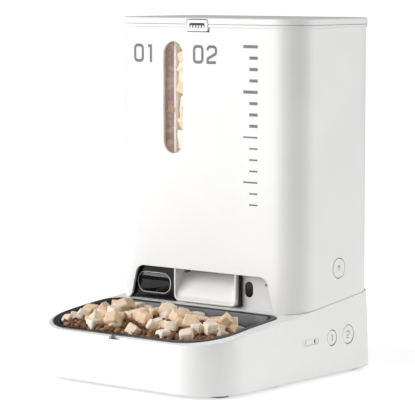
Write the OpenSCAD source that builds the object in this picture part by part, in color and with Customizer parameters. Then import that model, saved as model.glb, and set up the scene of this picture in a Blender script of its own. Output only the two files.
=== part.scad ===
// Automatic pet feeder with two hoppers, a camera and a lift-out steel bowl.
// Millimetres. Z is up, the bowl is at -Y, the feed buttons are on the +X side.
// Origin: middle of the footprint, on the surface that the feet stand on.

/* [Overall] */
// Height from the floor to the top of the lid
total_h = 327; // [320:1:335]
// Width of the base at the floor
base_w = 224.4; // [222:0.2:228]
// Depth of the base at the floor
base_d = 244.6; // [242:0.2:250]
// Width of the tower
tower_w = 218; // [217:0.5:219]
// Depth of the tower
tower_d = 121; // [120:0.5:122]
// Wall thickness of the outer mouldings
wall = 2.5; // [2:0.1:3]

/* [Corners] */
// Radius of the two front corners of the base
base_front_r = 47; // [42:1:50]
// Radius of the two rear corners of the base
base_rear_r = 25; // [22:1:28]
// Radius of the front corners of the tower
tower_front_r = 27.4; // [26:0.2:29]
// Radius of the rear corners of the tower
tower_rear_r = 25.4; // [24:0.2:27]

/* [Lid] */
// How far the lid and the collar stand out past the tower
lid_over = 1.4; // [1:0.1:2]
// Thickness of the lid at its edge
lid_t = 5.9; // [5:0.1:7]
// Visible height of the collar under the lid
collar_t = 2.6; // [2:0.1:3]

/* [Hoppers] */
// Place of the wall between the two hoppers, from the middle
divider_x = -38; // [-40:1:-34]
// Middle of the small hopper's impeller
imp_1_x = -71; // [-72:1:-70]
// Middle of the large hopper's impeller
imp_2_x = 33; // [30:1:35]
// Radius of the small impeller
imp_1_r = 28; // [26:1:28]
// Radius of the large impeller
imp_2_r = 44; // [40:1:44]

/* [Window] */
// Middle of the level window, from the middle of the front
window_x = -35; // [-36:1:-34]
// Width of the level window
window_w = 23.4; // [20:0.2:26]
// Height of the level window, end to end
window_h = 103.4; // [95:0.2:110]

/* [Drive] */
// Tooth size of the gears (module)
gear_m = 1.25; // [1.2:0.05:1.3]
// Teeth on the output gear
gear_n = 36; // [36:12:36]
// Teeth on the motor pinion
pinion_n = 12; // [12:1:12]

/* [Hidden] */
$fn = 96;

// Heights
foot_h = 3;
lid_z = total_h - lid_t;
collar_z = lid_z - 0.3 - collar_t;
deck_z = 61;
deck_slope = 0.12;
front_top_z = 46.2;
housing_top = 112;
floor_z = 115;
well_h = 18;
funnel_h = 26;

// Plan positions
tower_front = -2;
tower_y = tower_front + tower_d / 2;
tower_rear = tower_front + tower_d;
base_front = -base_d / 2;
lean = 3.3 / 70;
housing_half = 100;
housing_front = 9;
housing_rear = 111;
bowl_x = -4.5;
bowl_half = 102.5;
bowl_front = -114.5;
bowl_rear = -5;
bowl_front_r = 42;
bowl_rear_r = 18;
bowl_flange = 4;
bowl_floor_z = 13.9;
bowl_t = 0.9;
rim_t = 0.7;
imp_y = tower_y;
pinion_y = imp_y + gear_m * (gear_n + pinion_n) / 2;

// Centre lines of the arch and of the latch
arch_x = -2.5;
latch_x = -5;
window_z = 253.1;
notch_x = -4.5;
notch_w = 13;
chute_half = 37.2;
chute_front = 1;
panel_front = 3;

// Hinge
hinge_y = tower_rear + 0.2;
hinge_z = total_h - 9.5;
hinge_r = 2.9;
hinge_pin_r = 1.5;
hinge_x = 62;

// Release levers
lever_y = 61.6;
lever_z = 99.3;
lever_cap_r = 9;
lever_pivot_x = 103.2;
lever_pivot_z = 86;
lever_pin_r = 1.2;

// Feed buttons: [y, z, radius]
feed_1 = [49.3, 36.7, 6.9];
feed_2 = [74.5, 36.9, 8.4];
feed_back_x = 106;
feed_face_x = 110.8;
feed_stem_x = 98.6;
switch_x = 94.6;
button_gap = 0.3;

// Indicator window: middle, length and height
indicator_y = 17;
indicator_l = 24;
indicator_h = 5.6;

// Power inlet and speaker
inlet_x = 80;
inlet_z = 18;
inlet_r = 6.05;
speaker_y = 60;
speaker_z = 34;

// Camera window and infrared window in the arch
camera_x = -62.8;
camera_z = 77.8;
camera_w = 39.3;
camera_h = 17.7;
ring_gap = 0.05;
ring_t = 0.95;
lens_x = -74;
panel_x0 = -91.5;
sensor_x = 46.2;
sensor_z = 79.8;
sensor_w = 9.2;
sensor_h = 14.5;

// Food funnel of the chute
funnel_x0 = -70;
funnel_x1 = 22;
funnel_y0 = 14;
funnel_y1 = 44;
mouth_half = 33;
mouth_z = 66.4;
ramp_y = 27;
ramp_z = 94;
throat_z = 96;
outlet_1 = [-60, 33, 7];
outlet_2 = [8, 28, 9];

// Drying-agent box
cup_x = 40;
cup_y = 62;
cup_r = 26;

// Gears
gear_z = 88;
gear_t = 6;
shaft_r = 3;

white = "whitesmoke";
black = [0.08, 0.08, 0.09];
steel = "silver";

// ---------- shared shapes ----------

// Rounded plan outline, with its own radius at the front and at the rear
module outline(half, y0, y1, rf, rr) {
    translate([-half, y0 + rf]) square([2 * half, y1 - y0 - rf - rr]);
    translate([-half + rf, y0]) square([2 * (half - rf), rf + 0.01]);
    translate([-half + rr, y1 - rr - 0.01]) square([2 * (half - rr), rr + 0.01]);
    for (s = [-1, 1]) {
        translate([s * (half - rf), y0 + rf]) circle(rf);
        translate([s * (half - rr), y1 - rr]) circle(rr);
    }
}

module prism(half, y0, y1, rf, rr, z0, z1) {
    translate([0, 0, z0]) linear_extrude(z1 - z0) outline(half, y0, y1, rf, rr);
}

// Plan of the tower, drawn in by a distance
module tower_plan(inset, z0, z1) {
    prism(tower_w / 2 - inset, tower_front + inset, tower_rear - inset,
        tower_front_r - inset, tower_rear_r - inset, z0, z1);
}

// Height of the top of the base: a gentle arch in front of the tower, a flat slope under it
function deck(y) = y > tower_front
    ? deck_z + deck_slope * (y - tower_front)
    : deck_z + (front_top_z - deck_z) * u(y) + 4 * bulge * u(y) * (1 - u(y));
function u(y) = (tower_front - y) / (tower_front - base_front);
bulge = 2.2;

// Everything below the top of the base, moved by a distance along Z
module under_deck(shift, z0) {
    steps = 20;
    y0 = base_front - 5;
    front = [for (i = [0:steps]) let (y = y0 + (tower_front - y0) * i / steps) [y, deck(y) + shift]];
    rear = [[140, deck(140) + shift], [140, z0], [y0, z0]];
    rotate([90, 0, 90]) translate([0, 0, -150]) linear_extrude(300) polygon(concat(front, rear));
}

// The leaning body of the base, drawn in by a distance
module base_body(inset, z0, z1) {
    hull() {
        for (z = [z0, z1]) {
            k = inset + z * lean;
            prism(base_w / 2 - k, base_front + k, base_d / 2 - k, base_front_r - k,
                base_rear_r - k, z, z + 0.01, $fn = 128);
        }
    }
}

// Plan of the bowl, drawn in by a distance
module bowl_plan(inset, z0, z1) {
    translate([bowl_x, 0, 0]) prism(bowl_half - inset, bowl_front + inset, bowl_rear - inset,
        bowl_front_r - inset, bowl_rear_r - inset, z0, z1);
}

// A slot with round ends, standing in the XZ plane, cut from y0 to y1
module pill(w, h, y0, y1) {
    r = min(w, h) / 2;
    rotate([-90, 0, 0]) translate([0, 0, y0]) linear_extrude(y1 - y0) {
        square([w - (w > h ? 2 * r : 0), h - (h > w ? 2 * r : 0)], center = true);
        for (s = [-1, 1])
            translate([w > h ? s * (w / 2 - r) : 0, h > w ? s * (h / 2 - r) : 0]) circle(r);
    }
}

module rod_x(r, x0, x1) {
    translate([x0, 0, 0]) rotate([0, 90, 0]) cylinder(r = r, h = x1 - x0);
}

module box(x0, x1, y0, y1, z0, z1) {
    translate([x0, y0, z0]) cube([x1 - x0, y1 - y0, z1 - z0]);
}

// Pan-head screw standing on its head
module screw(r, h) {
    cylinder(r = 2 * r, h = 1.6);
    translate([0, 0, 1.6]) cylinder(r = r, h = h - 1.6);
}

// ---------- base ----------

foot_xy = [[-88, -87], [88, -87], [-92, 98], [92, 98]];
plate_screw_xy = [[-105.5, -30], [105.5, -30], [-60, 115.5], [60, 115.5]];

module base_shell() {
    color(white) difference() {
        union() {
            difference() {
                intersection() {
                    base_body(0, foot_h, 80);
                    under_deck(0, 0);
                }
                difference() {
                    intersection() {
                        base_body(wall, foot_h - 1, 80);
                        under_deck(-wall, 0);
                    }
                    bowl_plan(bowl_flange - wall, 9, 80);
                }
            }
            for (p = plate_screw_xy) translate([p[0], p[1], foot_h + 3.1]) cylinder(r = 3.8, h = 14);
        }
        // well for the bowl, with a ledge for its flange
        bowl_plan(bowl_flange, 11, 80);
        intersection() {
            bowl_plan(-0.4, 20, 80);
            difference() {
                under_deck(1, 0);
                under_deck(-rim_t, -1);
            }
        }
        // opening under the drive housing, and its screw holes
        box(-90, 90, housing_front + 8, housing_rear - 8, 40, 90);
        for (p = housing_screw_xy) translate([p[0], p[1], 40]) cylinder(r = 1.55, h = 50);
        for (p = plate_screw_xy) translate([p[0], p[1], 0]) cylinder(r = 1.55, h = 16);
        // finger notch at the front of the bowl
        translate([notch_x - notch_w / 2, base_front + 2.6, front_top_z - 1.6]) cube([notch_w, 6, 8]);
        // feed buttons and the indicator window on the +X side
        for (b = [feed_1, feed_2])
            translate([0, b[0], b[1]]) rod_x(b[2] + button_gap, 100, 115);
        indicator_slot(0.05, 104, 115);
        // power inlet at the rear
        translate([inlet_x, 0, inlet_z]) rotate([-90, 0, 0]) cylinder(r = inlet_r, h = 130);
        // grille for the speaker on the -X side
        for (i = [-3:3], j = [-2:2])
            translate([0, speaker_y + i * 5, speaker_z + j * 5]) rod_x(1.1, -115, -104);
    }
}

module indicator_slot(gap, x0, x1) {
    translate([0, indicator_y, feed_1[1]]) rotate([0, 0, 90])
        pill(indicator_l + 2 * gap, indicator_h + 2 * gap, -x1, -x0);
}

module base_plate() {
    color("gainsboro") difference() {
        prism(base_w / 2 - wall - 0.8, base_front + wall + 0.8, base_d / 2 - wall - 0.8,
            base_front_r - wall - 1, base_rear_r - wall - 1, foot_h + 0.6, foot_h + 3.1);
        for (p = foot_xy) translate([p[0], p[1], 0]) cylinder(r = 4, h = 20);
        for (p = plate_screw_xy) translate([p[0], p[1], 0]) cylinder(r = 1.6, h = 20);
    }
}

module feet() {
    color(black) for (p = foot_xy) translate([p[0], p[1], 0]) {
        cylinder(r = 9.5, h = foot_h + 0.6);
        cylinder(r = 3.95, h = foot_h + 3);
    }
}

module base_screws() {
    color(steel) for (p = plate_screw_xy) translate([p[0], p[1], foot_h - 1]) screw(1.55, 9);
}

// ---------- drive housing and what it carries ----------

housing_screw_xy = [[-93, 21], [93, 21], [-93, 96], [93, 96]];
post_xy = [[-93, 38], [62, 38], [-93, 104], [62, 104]];

module drive_housing() {
    color(white) difference() {
        union() {
            difference() {
                prism(housing_half, housing_front, housing_rear, 8, 18, 50, housing_top);
                prism(housing_half - wall, housing_front + wall, housing_rear - wall, 6, 16, 40,
                    housing_top - wall);
            }
            // bosses over the deck, and posts that carry the motor bracket
            for (p = housing_screw_xy) {
                translate([p[0], p[1], 50]) cylinder(r = 3.6, h = 32);
                translate([sign(p[0]) * 95.5, p[1], 66]) cube([5, 3, 32], center = true);
            }
            for (p = post_xy) translate([p[0], p[1], gear_z - 1.5])
                cylinder(r = 3.5, h = housing_top - gear_z);
        }
        under_deck(0.01, 0);
        for (p = housing_screw_xy) translate([p[0], p[1], 50]) cylinder(r = 1.5, h = 28);
        // chute, camera and sensor windows
        box(-chute_half - 0.2, chute_half + 0.2, 0, 20, 50, 100);
        box(-46, chute_half + 0.2, 0, 20, 95, 102);
        box(-84, -44, 0, 20, 67, 89);
        translate([sensor_x, 0, sensor_z]) pill(sensor_w + 0.1, sensor_h + 0.1, 0, 20);
        translate([65.9, 0, 85.4]) rotate([-90, 0, 0]) cylinder(r = 1.2, h = 20);
        // top: food passage and the two drive shafts
        box(funnel_x0 - 0.2, funnel_x1 + 2.6, funnel_y0 - 0.8, funnel_y1 + 0.2, 100, 120);
        for (x = [imp_1_x, imp_2_x])
            translate([x, imp_y, 100]) cylinder(r = shaft_r + 0.05, h = 20);
        // slots for the hooks of the release levers
        box(-110, 110, lever_y - 5, lever_y + 5, 69, 74);
    }
}

module housing_screws() {
    color(steel) for (p = housing_screw_xy)
        translate([p[0], p[1], deck(p[1]) - wall - 2.1]) screw(1.45, 9);
}

// Food funnel: two hopper outlets come in at the top, the ramp ends at the lip
module chute_space(grow) {
    hull() {
        box(funnel_x0 + 2 - grow, funnel_x1 - 2 + grow, funnel_y0 + 2 - grow, funnel_y1 - 2 + grow,
            housing_top, housing_top + 0.01);
        box(-mouth_half - grow, mouth_half + grow, 12.5 - grow, ramp_y + grow, throat_z, throat_z + 0.01);
    }
    lip_y = chute_front - (grow > 0 ? 0 : 1);
    rotate([90, 0, 90]) translate([0, 0, -mouth_half - grow]) linear_extrude(2 * (mouth_half + grow))
        polygon([[lip_y, mouth_z - 2 * grow], [ramp_y + grow, ramp_z - grow],
            [ramp_y + grow, throat_z + 0.01], [12.5 - grow, throat_z + 0.01],
            [chute_front + 4 - grow, ramp_z + grow], [lip_y, ramp_z + grow]]);
}

module chute() {
    color("white") difference() {
        union() {
            chute_space(2);
            // surround of the mouth
            difference() {
                box(-chute_half, chute_half, chute_front, chute_front + 8, 63.2, 99);
                translate([0, chute_front, 81]) rotate([-90, 0, 0]) linear_extrude(8)
                    for (s = [-1, 1]) translate([s * (chute_half - 4), 13.8]) difference() {
                        translate([s > 0 ? 0 : -5, 0]) square(5);
                        circle(4);
                    }
            }
        }
        chute_space(0);
    }
}

// Glossy panel of the camera, with an opening for its window
module camera_panel() {
    color(black) difference() {
        box(panel_x0, -chute_half - 0.4, panel_front, housing_front, 61.9, 98);
        box(panel_x0 + 3, -chute_half - 3, panel_front + 2, housing_front + 1, 65, 95);
        ring_pill(ring_t + 2 * ring_gap, 0, 8);
        under_deck(0.2, 0);
    }
}

module camera_ring() {
    color("silver") difference() {
        ring_pill(ring_t + ring_gap, panel_front - 0.3, panel_front + 1.6);
        ring_pill(ring_gap, 0, 8);
    }
}

// The camera window's outline, grown all round
module ring_pill(grow, y0, y1) {
    translate([camera_x, 0, camera_z]) pill(camera_w + 2 * grow, camera_h + 2 * grow, y0, y1);
}

module camera_window() {
    color([0.05, 0.05, 0.06]) ring_pill(0, panel_front - 0.1, panel_front + 1.4);
}

module camera_module() {
    color("dimgray") {
        translate([lens_x, 0, camera_z]) rotate([-90, 0, 0]) difference() {
            translate([0, 0, 5.2]) cylinder(r = 6.5, h = 11);
            translate([0, 0, 5]) cylinder(r = 4, h = 1.4);
        }
        box(-83, -47, 16.2, 17.8, 68, 88);
    }
}

module sensor_window() {
    color(black) translate([sensor_x, 0, sensor_z])
        pill(sensor_w, sensor_h, housing_front - 0.1, housing_front + wall);
}

module indicator_lens() {
    color("white") indicator_slot(0, 106.4, 110.4);
}

module motor_bracket() {
    color("gainsboro") difference() {
        intersection() {
            box(-97, 68, 34, 108, gear_z - 4, gear_z - 1.5);
            prism(housing_half - wall - 0.4, housing_front + wall, housing_rear - wall - 0.4,
                6, 16, gear_z - 5, gear_z);
        }
        for (x = [imp_1_x, imp_2_x]) {
            translate([x, imp_y, 60]) cylinder(r = shaft_r + 0.05, h = 40);
            translate([x, pinion_y, 60]) cylinder(r = 5.05, h = 40);
        }
    }
}

module motor(x) {
    color("silver") translate([x, pinion_y, 0]) difference() {
        union() {
            translate([0, 0, 46]) cylinder(r = 13.8, h = gear_z - 50);
            translate([0, 0, gear_z - 4]) cylinder(r = 5, h = 2.5);
        }
        translate([0, 0, 60]) cylinder(r = 1.55, h = 40);
    }
}
module motor_1() { motor(imp_1_x); }
module motor_2() { motor(imp_2_x); }

// Spur gear outline with straight-flanked teeth, thinned a little for backlash
module gear_2d(n, m) {
    pitch_r = n * m / 2;
    tip_r = pitch_r + 0.85 * m;
    root_r = pitch_r - 1.2 * m;
    step = 360 / n;
    circle(root_r + 0.05);
    for (i = [0:n - 1]) rotate(i * step) polygon([
        polar(root_r - 0.3, -0.32 * step), polar(pitch_r, -0.225 * step),
        polar(tip_r, -0.10 * step), polar(tip_r, 0.10 * step),
        polar(pitch_r, 0.225 * step), polar(root_r - 0.3, 0.32 * step)
    ]);
}
function polar(r, a) = [r * cos(a), r * sin(a)];

// Output gear with its shaft and the six-sided drive dog on top
module output_gear(x) {
    color("ivory") translate([x, imp_y, 0]) {
        translate([0, 0, gear_z]) rotate(5) linear_extrude(gear_t) gear_2d(gear_n, gear_m);
        translate([0, 0, gear_z - 4]) cylinder(r = shaft_r, h = housing_top + 1 - gear_z + 4);
        translate([0, 0, housing_top + 1]) cylinder(r = 5, h = 9, $fn = 6);
    }
}
module gear_1() { output_gear(imp_1_x); }
module gear_2() { output_gear(imp_2_x); }

module pinion(x) {
    color("ivory") translate([x, pinion_y, 0]) {
        translate([0, 0, gear_z]) linear_extrude(gear_t) gear_2d(pinion_n, gear_m);
        translate([0, 0, 62]) cylinder(r = 1.5, h = gear_z - 61);
    }
}
module pinion_1() { pinion(imp_1_x); }
module pinion_2() { pinion(imp_2_x); }

module main_board() {
    color("darkgreen") {
        box(-60, 60, 30, 100, 14, 15.6);
        box(-22, -6, 50, 66, 15.6, 17.4);
        box(12, 30, 44, 58, 15.6, 18.4);
        box(34, 42, 72, 92, 15.6, 22);
    }
    color("gainsboro") for (x = [-55, 55], y = [35, 95])
        translate([x, y, foot_h + 3.1]) cylinder(r = 3, h = 14 - foot_h - 3.1);
}

module speaker() {
    color("dimgray") translate([0, speaker_y, speaker_z]) difference() {
        union() {
            rod_x(18, -107, -103);
            rod_x(11, -103, -89);
        }
        rod_x(15, -107.5, -105);
    }
}

module dc_jack() {
    color(black) translate([inlet_x, 0, inlet_z]) rotate([-90, 0, 0]) {
        difference() {
            translate([0, 0, 108]) cylinder(r = inlet_r - 0.05, h = 13.2);
            translate([0, 0, 111]) cylinder(r = 2.8, h = 13);
        }
        translate([0, 0, 110]) cylinder(r = 1, h = 9.5);
    }
}

// Push button through the side wall, on a sleeve guide
module feed_button(b) {
    color(white) translate([0, b[0], b[1]]) {
        rod_x(b[2], feed_back_x, feed_face_x);
        rod_x(2, feed_stem_x, feed_back_x);
    }
}
module feed_button_1() { feed_button(feed_1); }
module feed_button_2() { feed_button(feed_2); }

// Upright board with a tactile switch behind each feed button
module button_board() {
    color("darkgreen") {
        box(switch_x - 1.6, switch_x, 38, 88, 27, 46);
        for (b = [feed_1, feed_2]) translate([0, b[0], b[1]]) box(switch_x, switch_x + 2.6, -3, 3, -3, 3);
    }
}

// ---------- bowl ----------

module bowl_space(grow, z0) {
    hull() {
        bowl_plan(bowl_flange + 1.4 - grow, 62, 62.01, $fn = 64);
        bowl_plan(bowl_flange + 11 - grow, z0, z0 + 0.01, $fn = 64);
    }
}

module bowl() {
    color("silver") difference() {
        union() {
            intersection() {
                bowl_plan(0, 20, 80);
                difference() {
                    under_deck(rim_t, 0);
                    under_deck(-rim_t, -1);
                }
            }
            intersection() {
                bowl_space(bowl_t, bowl_floor_z - bowl_t);
                under_deck(0, 0);
            }
        }
        bowl_space(0, bowl_floor_z);
    }
}

// ---------- hopper unit ----------

// The arch in the front of the tower, above the bowl
module arch_space() {
    translate([arch_x, 0, 0]) rotate([90, 0, 0]) translate([0, 0, -8]) linear_extrude(12) {
        polygon([[-92, 50], [92, 50], [89, 62.5], [84.5, 66], [79, 85], [70, 94], [-70, 94],
            [-79, 85], [-84.5, 66], [-89, 62.5]]);
        intersection() {
            for (s = [-1, 1]) translate([s * 69.3, 83.3]) circle(10.7);
            translate([-90, 80]) square([180, 20]);
        }
    }
}

module lever_ears() {
    for (s = [-1, 1], t = [-1, 1]) translate([s * (lever_pivot_x + 1.2), lever_y + t * 8, lever_pivot_z])
        cube([5, 3, 6], center = true);
}

module tower_shell() {
    color(white) difference() {
        union() {
            difference() {
                tower_plan(0, 40, collar_z);
                tower_plan(wall, 39, collar_z + 1);
            }
            lever_ears();
        }
        under_deck(0.3, 0);
        arch_space();
        translate([window_x, 0, window_z]) pill(window_w + 0.1, window_h + 0.1, -10, 10);
        for (s = [-1, 1]) {
            // button holes, wider on the inside so that the caps can tilt
            translate([0, lever_y, lever_z]) {
                rod_x(lever_cap_r + 0.3, s > 0 ? 100 : -112, s > 0 ? 112 : -100);
                rod_x(lever_cap_r + 1.4, s > 0 ? 100 : -108, s > 0 ? 108 : -100);
            }
            translate([s * lever_pivot_x, lever_y, lever_pivot_z]) rotate([90, 0, 0])
                cylinder(r = lever_pin_r, h = 30, center = true);
            // room for the lid's hinge
            translate([s * hinge_x, 0, 0]) box(-12, 12, tower_rear - 4, tower_rear + 4, hinge_z - 3.4, 330);
        }
        // room for the latch at the front
        translate([latch_x, 0, 0]) box(-13.4, 13.4, -5, 2, 313.6, 330);
    }
}

module top_collar() {
    color(white) difference() {
        union() {
            difference() {
                union() {
                    tower_plan(-lid_over, collar_z, collar_z + collar_t);
                    tower_plan(wall + 0.05, collar_z - 4, collar_z + 0.01);
                }
                tower_plan(wall + 2, collar_z - 5, collar_z + collar_t + 1);
            }
            // bar that the latch hooks under
            translate([latch_x, 0, 0]) box(-17, 17, 0.6, 4.6, collar_z - 3, collar_z + collar_t);
            // hinge ears
            for (s = [-1, 1], t = [-1, 1]) translate([s * hinge_x + t * 9, 0, 0]) {
                translate([0, hinge_y, hinge_z]) rod_x(hinge_r, -2.5, 2.5);
                box(-2.5, 2.5, hinge_y - 2.9, hinge_y + 1, hinge_z, collar_z + collar_t);
            }
        }
        for (s = [-1, 1]) translate([s * hinge_x, 0, 0]) {
            translate([0, hinge_y, hinge_z]) rod_x(hinge_pin_r, -20, 20);
            box(-6.5, 6.5, hinge_y - 3.4, hinge_y + 5, hinge_z - 3.4, 330);
        }
        translate([latch_x, 0, 0]) box(-13.4, 13.4, -5, 2, 310, 330);
    }
}

tub_in = wall + 0.6;
tub_t = 2;
tub_z1 = collar_z - 4.5;

module hopper_tub() {
    color([0.9, 0.93, 0.95]) difference() {
        tower_plan(tub_in, floor_z + 1, tub_z1);
        tower_plan(tub_in + tub_t, floor_z, tub_z1 + 1);
        translate([window_x, 0, window_z]) pill(window_w + 8.4, window_h + 8.4, -10, 10);
        translate([latch_x, 0, 0]) box(-14, 14, -2, 8, 308, 330);
    }
}

module hopper_divider() {
    color("white") box(divider_x - 1, divider_x + 1, tower_front + 6, tower_rear - tub_in - tub_t,
        floor_z + well_h + funnel_h, tub_z1 - 2);
}

// One hopper's bottom: a sloping cone down to a round well with an outlet
module hopper_bottom(x, r, cone_r, cone_h) {
    z1 = floor_z + well_h;
    difference() {
        union() {
            translate([x, imp_y, floor_z]) cylinder(r = r + 4, h = well_h);
            translate([x, imp_y, z1]) cylinder(r1 = r + 4, r2 = cone_r + 2, h = cone_h);
        }
        translate([x, imp_y, floor_z + 2]) cylinder(r = r + 2, h = well_h);
        translate([x, imp_y, z1 - 0.01]) cylinder(r1 = r + 2, r2 = cone_r, h = cone_h + 0.02);
        translate([x, imp_y, floor_z - 1]) cylinder(r = 8.05, h = 5);
    }
}

module compartment(x0, x1) {
    intersection() {
        tower_plan(tub_in + tub_t + 0.05, 100, 200);
        box(x0, x1, -10, 130, 100, 200);
    }
}

module hopper_floor() {
    color("white") difference() {
        union() {
            intersection() {
                compartment(-110, divider_x);
                hopper_bottom(imp_1_x, imp_1_r, 68, funnel_h);
            }
            intersection() {
                compartment(divider_x, 110);
                hopper_bottom(imp_2_x, imp_2_r, 90, funnel_h);
            }
            // rib that carries the wall between the hoppers
            intersection() {
                compartment(-110, 110);
                box(divider_x - 0.9, divider_x + 0.9, 0, 120, floor_z, floor_z + well_h + funnel_h);
            }
        }
        // outlets over the chute
        for (o = [outlet_1, outlet_2]) translate([o[0], o[1], floor_z - 1]) cylinder(r = o[2], h = 5);
    }
}

module window_lens() {
    color([0.9, 0.95, 1, 0.35]) translate([window_x, 0, window_z]) {
        pill(window_w, window_h, tower_front, tower_front + wall);
        pill(window_w + 7, window_h + 7, tower_front + wall, tower_front + wall + 1.6);
    }
}

module impeller(x, r) {
    color("lightslategray") translate([x, imp_y, 0]) difference() {
        union() {
            translate([0, 0, floor_z + 0.2]) cylinder(r = 8, h = well_h - 0.2);
            translate([0, 0, floor_z + 2.1]) cylinder(r = 11, h = well_h - 4);
            translate([0, 0, floor_z + well_h - 0.1]) cylinder(r1 = 11, r2 = 4, h = 6);
            for (i = [0:5]) rotate(i * 60) box(4, r, -1.2, 1.2, floor_z + 2.3, floor_z + well_h - 1);
        }
        translate([0, 0, floor_z]) cylinder(r = 5.5, h = 8.6, $fn = 6);
    }
}
module impeller_1() { impeller(imp_1_x, imp_1_r); }
module impeller_2() { impeller(imp_2_x, imp_2_r); }

// Round cap on a rocking lever, with a hook that holds the drive housing
module release_lever(s) {
    color(white) difference() {
        union() {
            translate([0, lever_y, lever_z])
                rod_x(lever_cap_r, s > 0 ? 104 : -109.4, s > 0 ? 109.4 : -104);
            translate([s * lever_pivot_x, lever_y, 87.75]) cube([2, 12, 34.5], center = true);
            translate([s * lever_pivot_x, lever_y, lever_pivot_z]) rotate([90, 0, 0])
                cylinder(r = 2.4, h = 12, center = true);
            translate([s * 100.9, lever_y, 71.5]) cube([3.6, 8, 3], center = true);
        }
        translate([s * lever_pivot_x, lever_y, lever_pivot_z]) rotate([90, 0, 0])
            cylinder(r = lever_pin_r + 0.05, h = 30, center = true);
    }
}
module release_lever_right() { release_lever(1); }
module release_lever_left() { release_lever(-1); }

module lever_pins() {
    color(steel) for (s = [-1, 1]) translate([s * lever_pivot_x, lever_y, lever_pivot_z])
        rotate([90, 0, 0]) cylinder(r = lever_pin_r, h = 19, center = true);
}

// ---------- lid ----------

module hinge_pins() {
    color(steel) for (s = [-1, 1]) translate([s * hinge_x, hinge_y, hinge_z])
        rod_x(hinge_pin_r, -11.5, 11.5);
}

module lid_cover() {
    color(white) difference() {
        union() {
            tower_plan(-lid_over, lid_z, total_h - 1);
            tower_plan(-lid_over + 1, total_h - 1.01, total_h);
            // hinge knuckles
            for (s = [-1, 1]) translate([s * hinge_x, 0, 0]) {
                translate([0, hinge_y, hinge_z]) rod_x(hinge_r, -6, 6);
                box(-6, 6, hinge_y - 2.9, hinge_y + 1.2, hinge_z, lid_z + 1);
            }
        }
        difference() {
            tower_plan(1, lid_z - 1, total_h - 2.2);
            translate([latch_x, 0, 0]) box(-17, 17, -8, 10, 300, 340);
        }
        for (s = [-1, 1]) translate([s * hinge_x, hinge_y, hinge_z]) rod_x(hinge_pin_r + 0.05, -20, 20);
        // pocket of the latch and the passage of its stem
        translate([latch_x, 0, 0]) {
            box(-13.4, 13.4, -5, 2, 310, total_h - 1.3);
            box(-7, 7, 1, 11, 310, total_h - 2.4);
        }
    }
}

module lid_liner() {
    color("white") difference() {
        union() {
            tower_plan(1.2, lid_z, lid_z + 1.6);
            difference() {
                tower_plan(tub_in + tub_t + 2, lid_z - 9, lid_z + 0.01);
                tower_plan(tub_in + tub_t + 4, lid_z - 10, lid_z);
            }
        }
        translate([latch_x, 0, 0]) box(-17.4, 17.4, -10, 10.5, 300, 340);
        translate([cup_x, cup_y, lid_z - 1]) cylinder(r = cup_r + 0.2, h = 4);
        for (s = [-1, 1]) translate([s * hinge_x, 0, 0]) box(-7, 7, 112, 130, 300, 340);
    }
}

module lid_seal() {
    color("gray") difference() {
        tower_plan(wall + 3.1, lid_z - 7, lid_z - 4.5);
        tower_plan(tub_in + tub_t + 2, lid_z - 8, lid_z - 4);
        translate([latch_x, 0, 0]) box(-17.4, 17.4, -10, 10.5, 300, 340);
    }
}

// Push latch: ribbed face outside, stem through the lid, hook under the collar's bar
module latch() {
    color(white) translate([latch_x, 0, 0]) {
        difference() {
            box(-12.9, 12.9, -3.9, -1.2, 314.1, total_h - 1.5);
            box(-9, 9, -4, -2.7, 317.7, 322.1);
        }
        for (i = [-2:2]) box(i * 3.4 - 0.6, i * 3.4 + 0.6, -3.5, -2.6, 317.8, 322);
        box(-6, 6, -1.3, 7.4, 322, 324.2);
        box(-6, 6, 5.4, 7.4, 311.4, 322.1);
        box(-6, 6, 3.1, 5.5, 311.4, 314.4);
    }
}

// Drying-agent box in the lid, with a cap that turns to open
module desiccant_cup() {
    color("white") translate([cup_x, cup_y, 0]) difference() {
        translate([0, 0, lid_z - 12]) cylinder(r = cup_r, h = 15);
        translate([0, 0, lid_z - 13]) cylinder(r = cup_r - wall, h = 14.5);
    }
}

module desiccant_cap() {
    color("lightgray") translate([cup_x, cup_y, 0]) difference() {
        union() {
            translate([0, 0, lid_z - 14.6]) cylinder(r = cup_r, h = 2.5);
            translate([0, 0, lid_z - 12.2]) cylinder(r = cup_r - wall - 0.1, h = 5);
        }
        translate([0, 0, lid_z - 12.1]) cylinder(r = 21.4, h = 6);
        for (i = [0:5], k = [1:2]) rotate(i * 60 + k * 30) translate([k * 8, 0, lid_z - 16])
            cylinder(r = 1.6, h = 6);
        // finger grip across the cap
        translate([0, 0, lid_z - 14.7]) cube([3, 34, 1.6], center = true);
    }
}

base_shell();
base_plate();
feet();
base_screws();
drive_housing();
housing_screws();
chute();
camera_panel();
camera_ring();
camera_window();
camera_module();
sensor_window();
indicator_lens();
motor_bracket();
motor_1();
motor_2();
gear_1();
gear_2();
pinion_1();
pinion_2();
main_board();
speaker();
dc_jack();
feed_button_1();
feed_button_2();
button_board();
bowl();
tower_shell();
top_collar();
hopper_tub();
hopper_divider();
hopper_floor();
window_lens();
impeller_1();
impeller_2();
release_lever_right();
release_lever_left();
lever_pins();
hinge_pins();
lid_cover();
lid_liner();
lid_seal();
latch();
desiccant_cup();
desiccant_cap();
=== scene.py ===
import math
import random

import bmesh
import bpy
import numpy as np
from mathutils import Matrix, Vector, noise


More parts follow.
